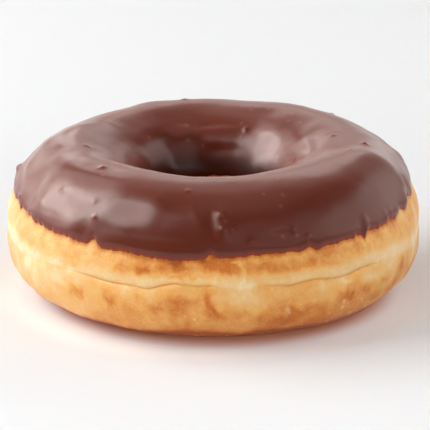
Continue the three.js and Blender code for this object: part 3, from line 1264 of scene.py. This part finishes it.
    # painted shade: browner along the crease, where shade falls in the cut
    crease_shade: Stripe = Stripe(0.22, -0.05, 0.28)
    # browner just under the icing's edge: partly a stain from the icing, partly painted shade under its rim
    icing_stain_and_shade: Stripe = Stripe(0.36, 0.0, 0.55)
    mottling: tuple[Ripple, ...] = (Ripple(9, 0.12, 41), Ripple(4, 0.07, 42))
    belt_calm: float = 0.5  # how much less mottled the belt is
    front_calm: float = 0.55  # and the front
    ragged_turn: Ripple = Ripple(2.6, 0.40, 51)  # how far the rims of the patches stray
    ragged_height: Ripple = Ripple(2.4, 0.35, 52)

    def build(self) -> Piece:
        """Makes the ring of dough: the outline less the crease, and less the room that the icing takes.

        Returns:
            The piece.
        """
        ring = self.outline.trace(2 * np.pi * even_shares(self.around))
        edges = self.edge_line.on(ring)
        crease = self._crease_length(ring)
        lengths = self._grid(ring, edges, crease)
        flat = ring.point(lengths)
        inside = edges.inside(lengths)
        shown = np.clip(summed(self.shown_crease, ring.turns), self.faintest_crease, 1)[:, None]
        from_crease = lengths - crease[:, None]
        relief = self._relief(flat, inside, from_crease, shown)
        turns, leans = ring.turns[:, None], ring.lean(lengths)
        for fold in self.shape:
            relief += fold.over(turns, leans)
        blistered = self._blistered(flat)
        points = ring.point(lengths, relief + self.blister_height * blistered)
        browning_and_shade = self._browning_with_shade(turns, flat, from_crease, inside, shown, lengths > ring.ridge[:, None])
        return ring_mesh(
            "dough_body", points, {"browning_and_shade": browning_and_shade, "blistered": self.blister_paleness * blistered}
        )

    def _crease_length(self, ring: TracedRing) -> Array:
        """The length at which the crease runs: the belly, and some listed sags."""
        return ring.belly - summed(self.crease_swells, ring.turns)

    def _grid(self, ring: TracedRing, edges: Edges, crease: Array) -> Array:
        """The lengths of the grid: up the hole, under the icing, and down the outside to the foot.

        Each stretch ends at a mark and has its own number of steps, with the smallest ones at the crease.

        Args:
            ring: The traced ring.
            edges: Where the icing ends.
            crease: The length at which the crease runs, for each turn.

        Returns:
            The lengths, one row for each turn.
        """
        stretches = (
            (ring.waist, 12),
            (edges.inner + 0.6, 5),  # just under the icing
            (edges.outer - 1.0, 18),  # out to just before its edge
            (crease - 1.2, 30),
            (crease + 1.6, 14),  # over the crease
            (ring.total - 1.4, 48),
            (ring.total, 1),  # over the flat foot
        )
        start = np.zeros_like(crease)
        rows = []
        for end, steps in stretches:
            rows.append(start[:, None] + (end - start)[:, None] * even_shares(steps))
            start = end
        return np.concatenate(rows, axis=1)

    def _relief(self, points: Array, inside: Array, from_crease: Array, shown: Array) -> Array:
        """How far the crust stands off the outline.

        The crease is a sharp cut, exp(-|d|/w) of the distance d from it, in a broad valley, exp(-(d/v)^2).
        Towards the icing the crust draws in to leave room for it. No lump shows under the icing or the foot.

        Args:
            points: The points of the outline.
            inside: How far each lies under the icing, from its edge.
            from_crease: How far each lies past the crease.
            shown: How clearly the crease shows at each turn.

        Returns:
            The rise at each point, in mm.
        """
        cut = self.crease_depth * shown * np.exp(-np.abs(from_crease) / self.crease_width)
        cut -= self.lip_height * shown * np.exp(-(((from_crease - self.lip_below) / self.lip_width) ** 2))
        valley = self.valley_depth * shown * np.exp(-((from_crease / self.valley_width) ** 2))
        at_rim = self.rim_thickness - self.tuck
        room = at_rim * smooth_step(inside, -self.draw_in, 0)
        room += (self.under_icing - at_rim) * smooth_step(inside, *self.hidden_step)
        lumps = sum(lump.over(points) for lump in self.lumps)
        lumps *= smooth_step(points[..., 2], 0.0, self.flat_foot) * smooth_step(-inside, *self.bare_step)
        return lumps - cut - valley - room

    def _browning_with_shade(
        self, turns: Array, points: Array, from_crease: Array, inside: Array, shown: Array, outside: Array
    ) -> Array:
        """How brown the crust is, painted shade included, from 0 for cream to MOST_BROWNED.

        On the outside it is the sum of what the rises and the stripes add, of soft unevenness, and of the
        patches, which have ragged rims. The stripe along the crease is painted shade, and the one just under
        the icing's rim is partly a stain and partly painted shade. In the hole it is brown.

        Args:
            turns: Turns in radians, one row for each turn.
            points: The points of the outline.
            from_crease: How far each lies past the crease.
            inside: How far each lies under the icing, from its edge.
            shown: How clearly the crease shows at each turn.
            outside: Which points lie outside the ridge.

        Returns:
            How brown each point is, painted shade included.
        """
        front = np.exp(-((round_from(turns, 0) / np.radians(self.front_half_width)) ** 4))
        belt = self.belt.over(from_crease)
        mottling = sum(ripple.over(points) for ripple in self.mottling)
        browning_and_shade = self.golden + sum(rise.over(from_crease) for rise in self.rises)
        # Painted shade along the crease, and partly painted shade just under the icing's rim.
        browning_and_shade += self.crease_shade.over(from_crease) * shown + self.icing_stain_and_shade.over(inside)
        browning_and_shade -= self.belt_paleness * belt
        browning_and_shade += mottling * (1 - self.belt_calm * belt) * (1 - self.front_calm * front)
        ragged = points.copy()
        ragged[..., 2] += self.ragged_height.over(points)
        ragged_turns = turns + self.ragged_turn.over(points) / BELLY_RADIUS
        for spot in (*self.spots, *self._patches()):
            browning_and_shade += spot.over(ragged_turns, ragged)
        return np.clip(np.where(outside, browning_and_shade, 1.0 + mottling), 0, MOST_BROWNED)

    def _patches(self) -> list[Spot]:
        """Browner and paler patches at random places on the sides and the back.

        Returns:
            The patches.
        """
        random = np.random.default_rng(self.patch_seed)
        return [
            Spot(*(random.uniform(*ends) for ends in self.patch_ranges), random.choice(self.patch_adds))
            for _ in range(self.patches)
        ]

    def _blistered(self, points: Array) -> Array:
        """How blistered the crust is, with small pale blisters at random places low on the outside.

        Args:
            points: The points of the outline.

        Returns:
            A share from 0 to 1 for each point.
        """
        random = np.random.default_rng(self.speckle_seed)
        turns = np.radians(random.uniform(-180, 180, self.speckles))
        heights = random.uniform(*self.speckle_heights, self.speckles)
        widths = random.uniform(*self.speckle_widths, self.speckles)
        spots = self.outline.trace(turns)
        rows = spots.sample_lengths()
        below = (rows > spots.belly[:, None]) & (spots.height <= heights[:, None])
        centres = spots.point(rows[np.arange(self.speckles), below.argmax(axis=1)][:, None])[:, 0]
        total = np.zeros(points.shape[:2])
        for centre, width in zip(centres, widths):
            total += np.exp(-((np.linalg.norm(points - centre, axis=-1) / width) ** 2))
        return np.clip(total, 0, 1)

    def dress(self, piece: Piece, finish: FriedDoughFinish) -> None:
        """Gives the piece its finish and its place in the frame.

        Args:
            piece: The piece.
            finish: What it is made of.
        """
        piece.data.materials.append(finish.material())
        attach(piece, "root")
        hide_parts("dough_ring")


class Seen(Enum):
    """Where a light shows."""

    IN_GLOSS = "only in reflections"
    BY_MATT = "only as matt light"


class Flag(Enum):
    """What a flag keeps a light off."""

    OFF_ICING = "the icing"
    OFF_REST = "the dough and the floor"
    OFF_DOUGHNUT = "the dough and the icing"
    ON_DOUGH = "all but the dough"


@dataclass(frozen=True)
class Softbox:
    """A rectangle of light that looks at the doughnut. Lengths are in metres, and angles in degrees."""

    name: str
    turn: float
    elevation: float
    distance: float
    width: float
    height: float
    radiance: float
    colour: Colour = WARM
    seen: Seen = Seen.IN_GLOSS
    flag: Flag | None = None

    def build(self, target: Vector, lit: dict[Flag, bpy.types.Collection]) -> Piece:
        """Makes the light.

        Args:
            target: The point that it looks at.
            lit: The pieces that a light still falls on, for each flag.

        Returns:
            The light.
        """
        light = bpy.data.lights.new(self.name, "AREA")
        light.shape = "RECTANGLE"
        light.size = self.width
        light.size_y = self.height
        light.energy = self.radiance * self.width * self.height * WATTS_PER_RADIANCE
        light.color = self.colour
        turn, elevation = np.radians(self.turn), np.radians(self.elevation)
        level = np.cos(elevation)
        away = Vector((level * np.sin(turn), -level * np.cos(turn), np.sin(elevation)))
        lamp = bpy.data.objects.new(self.name, light)
        lamp.location = target + away * self.distance
        lamp.rotation_euler = (-away).to_track_quat("-Z", "Y").to_euler()
        lamp.visible_camera = False
        lamp.visible_diffuse = self.seen is not Seen.IN_GLOSS
        lamp.visible_glossy = self.seen is not Seen.BY_MATT
        if self.flag in lit:
            lamp.light_linking.receiver_collection = lit[self.flag]
        bpy.context.scene.collection.objects.link(lamp)
        return lamp


@dataclass(frozen=True)
class Studio:
    """The pale floor, the lights round it and the camera. Lengths are in metres, and angles in degrees."""

    floor_reach: float = 3.0
    camera_distance: float = 0.63
    camera_elevation: float = 17.85
    lens: float = 242.0
    aim_share: float = 0.478  # of the doughnut's height
    shift: float = 0.0031
    room: Colour = (0.19, 0.19, 0.195)
    # The gleams: boxes set one inside the other make a gleam that is brightest in its middle.
    gleams: tuple[Softbox, ...] = (
        Softbox("key_core_gleam", -101, 31, 1.0, 0.38, 0.28, 6.0),
        Softbox("key_gleam", -101, 31, 1.0, 0.54, 0.41, 14.0),
        Softbox("key_halo_gleam", -101, 31, 1.0, 0.66, 0.52, 2.6),
        Softbox("key_fringe", -132, 38, 1.1, 0.55, 0.60, 1.9),
        Softbox("front_core_gleam", -63, 47, 1.0, 0.32, 0.28, 4.5),
        Softbox("front_gleam", -63, 47, 1.0, 0.46, 0.42, 5.0),
        Softbox("front_halo_gleam", -63, 47, 1.0, 0.62, 0.56, 1.0),
        Softbox("high_key_gleam", -100, 55, 1.2, 0.69, 0.34, 3.4),
        Softbox("low_key_gleam", -110, 11, 1.2, 1.17, 0.38, 1.9),
        Softbox("back_left_gleam", -150, 12, 1.2, 0.95, 0.50, 1.6),
        Softbox("back_gleam", 180, 27, 1.2, 0.60, 0.40, 1.75),
        Softbox("low_back_gleam", 180, 12, 1.2, 0.60, 0.24, 0.2),
        Softbox("horizon_gleam", 180, 5, 1.2, 1.60, 0.17, 1.5),
        Softbox("front_right_gleam", 42, 33, 1.2, 1.05, 0.62, 0.56),
        Softbox("low_front_gleam", 28, 20, 1.2, 1.50, 0.34, 0.48),
        Softbox("back_right_gleam", 153, 17, 1.2, 0.64, 0.72, 0.6),
        Softbox("right_gleam", 101, 20, 1.2, 1.60, 0.74, 1.45),
        Softbox("high_gleam", 180, 52, 1.2, 0.90, 0.50, 0.7),
        Softbox("ceiling_gleam", 90, 80, 1.2, 0.90, 0.60, 0.47),
    )
    # The matt light.
    panels: tuple[Softbox, ...] = (
        Softbox("key_softbox", -98, 36, 1.0, 1.1, 0.70, 4.5, WHITE, Seen.BY_MATT),
        Softbox("right_panel", 95, 28, 1.3, 1.4, 0.9, 1.3, WHITE, Seen.BY_MATT),
        Softbox("back_right_panel", 140, 25, 1.2, 1.2, 0.8, 0.9, WHITE, Seen.BY_MATT),
        Softbox("front_fill", 15, 42, 1.2, 1.5, 1.0, 1.4, WHITE, Seen.BY_MATT, Flag.ON_DOUGH),
        Softbox("left_fill", -60, 13, 1.2, 1.0, 0.5, 2.0, COOL, Seen.BY_MATT, Flag.OFF_ICING),
        Softbox("floor_glow", 10, 16, 1.2, 2.8, 0.46, 4.8, ROSY, Seen.BY_MATT, Flag.OFF_DOUGHNUT),
        Softbox("back_panel", 180, 35, 1.3, 2.0, 1.2, 1.5, WHITE, Seen.BY_MATT, Flag.OFF_REST),
        Softbox("back_left_panel", -140, 25, 1.2, 1.2, 0.8, 1.3, WHITE, Seen.BY_MATT, Flag.OFF_REST),
    )

    def build(self, dough: Piece, icing: Piece) -> None:
        """Makes the floor, the dim room, the lights and the camera.

        Args:
            dough: The dough.
            icing: The icing.
        """
        low, high = (Vector(corner) for corner in CAD_BOX)
        aim = Vector(((low.x + high.x) / 2, (low.y + high.y) / 2, low.z + self.aim_share * (high.z - low.z)))
        floor = self._floor(low.z)
        still_lit = {
            Flag.OFF_ICING: (dough, floor),
            Flag.OFF_REST: (icing,),
            Flag.OFF_DOUGHNUT: (floor,),
            Flag.ON_DOUGH: (dough,),
        }
        lit = {}
        for flag, pieces in still_lit.items():
            lit[flag] = bpy.data.collections.new(flag.name.lower())
            for piece in pieces:
                lit[flag].objects.link(piece)
        self._room()
        for softbox in self.gleams + self.panels:
            softbox.build(aim, lit)
        self._camera(aim)
        bpy.context.scene.view_settings.view_transform = "Standard"

    def _floor(self, level: float) -> Piece:
        """A wide square floor.

        Args:
            level: Its height in metres.

        Returns:
            The floor.
        """
        reach = self.floor_reach
        corners = [(x * reach, y * reach, level) for x, y in ((-1, -1), (1, -1), (1, 1), (-1, 1))]
        mesh = bpy.data.meshes.new("studio_floor")
        mesh.from_pydata(corners, [], [(0, 1, 2, 3)])
        floor = bpy.data.objects.new("studio_floor", mesh)
        bpy.context.scene.collection.objects.link(floor)
        floor.data.materials.append(FloorFinish().material())
        return floor

    def _room(self) -> None:
        """A dim room all round."""
        world = bpy.data.worlds.new("studio_room")
        bpy.context.scene.world = world
        world.use_nodes = True
        world.node_tree.nodes["Background"].inputs["Color"].default_value = (*self.room, 1)
        world.cycles_visibility.glossy = False

    def _camera(self, aim: Vector) -> None:
        """The camera, in front of the doughnut and a little above it.

        Args:
            aim: The point that it looks at.
        """
        elevation = np.radians(self.camera_elevation)
        camera = bpy.data.cameras.new("camera")
        camera.lens = self.lens
        camera.shift_x = self.shift
        eye = bpy.data.objects.new("camera", camera)
        away = Vector((0, -np.cos(elevation), np.sin(elevation)))
        eye.location = aim + away * self.camera_distance
        eye.rotation_euler = (-away).to_track_quat("-Z", "Y").to_euler()
        bpy.context.scene.collection.objects.link(eye)
        bpy.context.scene.camera = eye


def main() -> None:
    """Builds the doughnut and the studio, and reports each piece."""
    logging.basicConfig(level=logging.INFO, format="%(message)s")
    outline = RingOutline()
    edge_line = IcingEdgeLine()
    dough = DoughRing(outline, edge_line)
    icing = ChocolateIcing(outline, edge_line)
    pieces = []
    for maker, finish in ((dough, FriedDoughFinish()), (icing, ChocolateIcingFinish())):
        piece = maker.build()
        maker.dress(piece, finish)
        pieces.append(piece)
        log.info("%s: %d faces", piece.name, len(piece.data.polygons))
    Studio().build(*pieces)


if __name__ == "__main__":
    main()
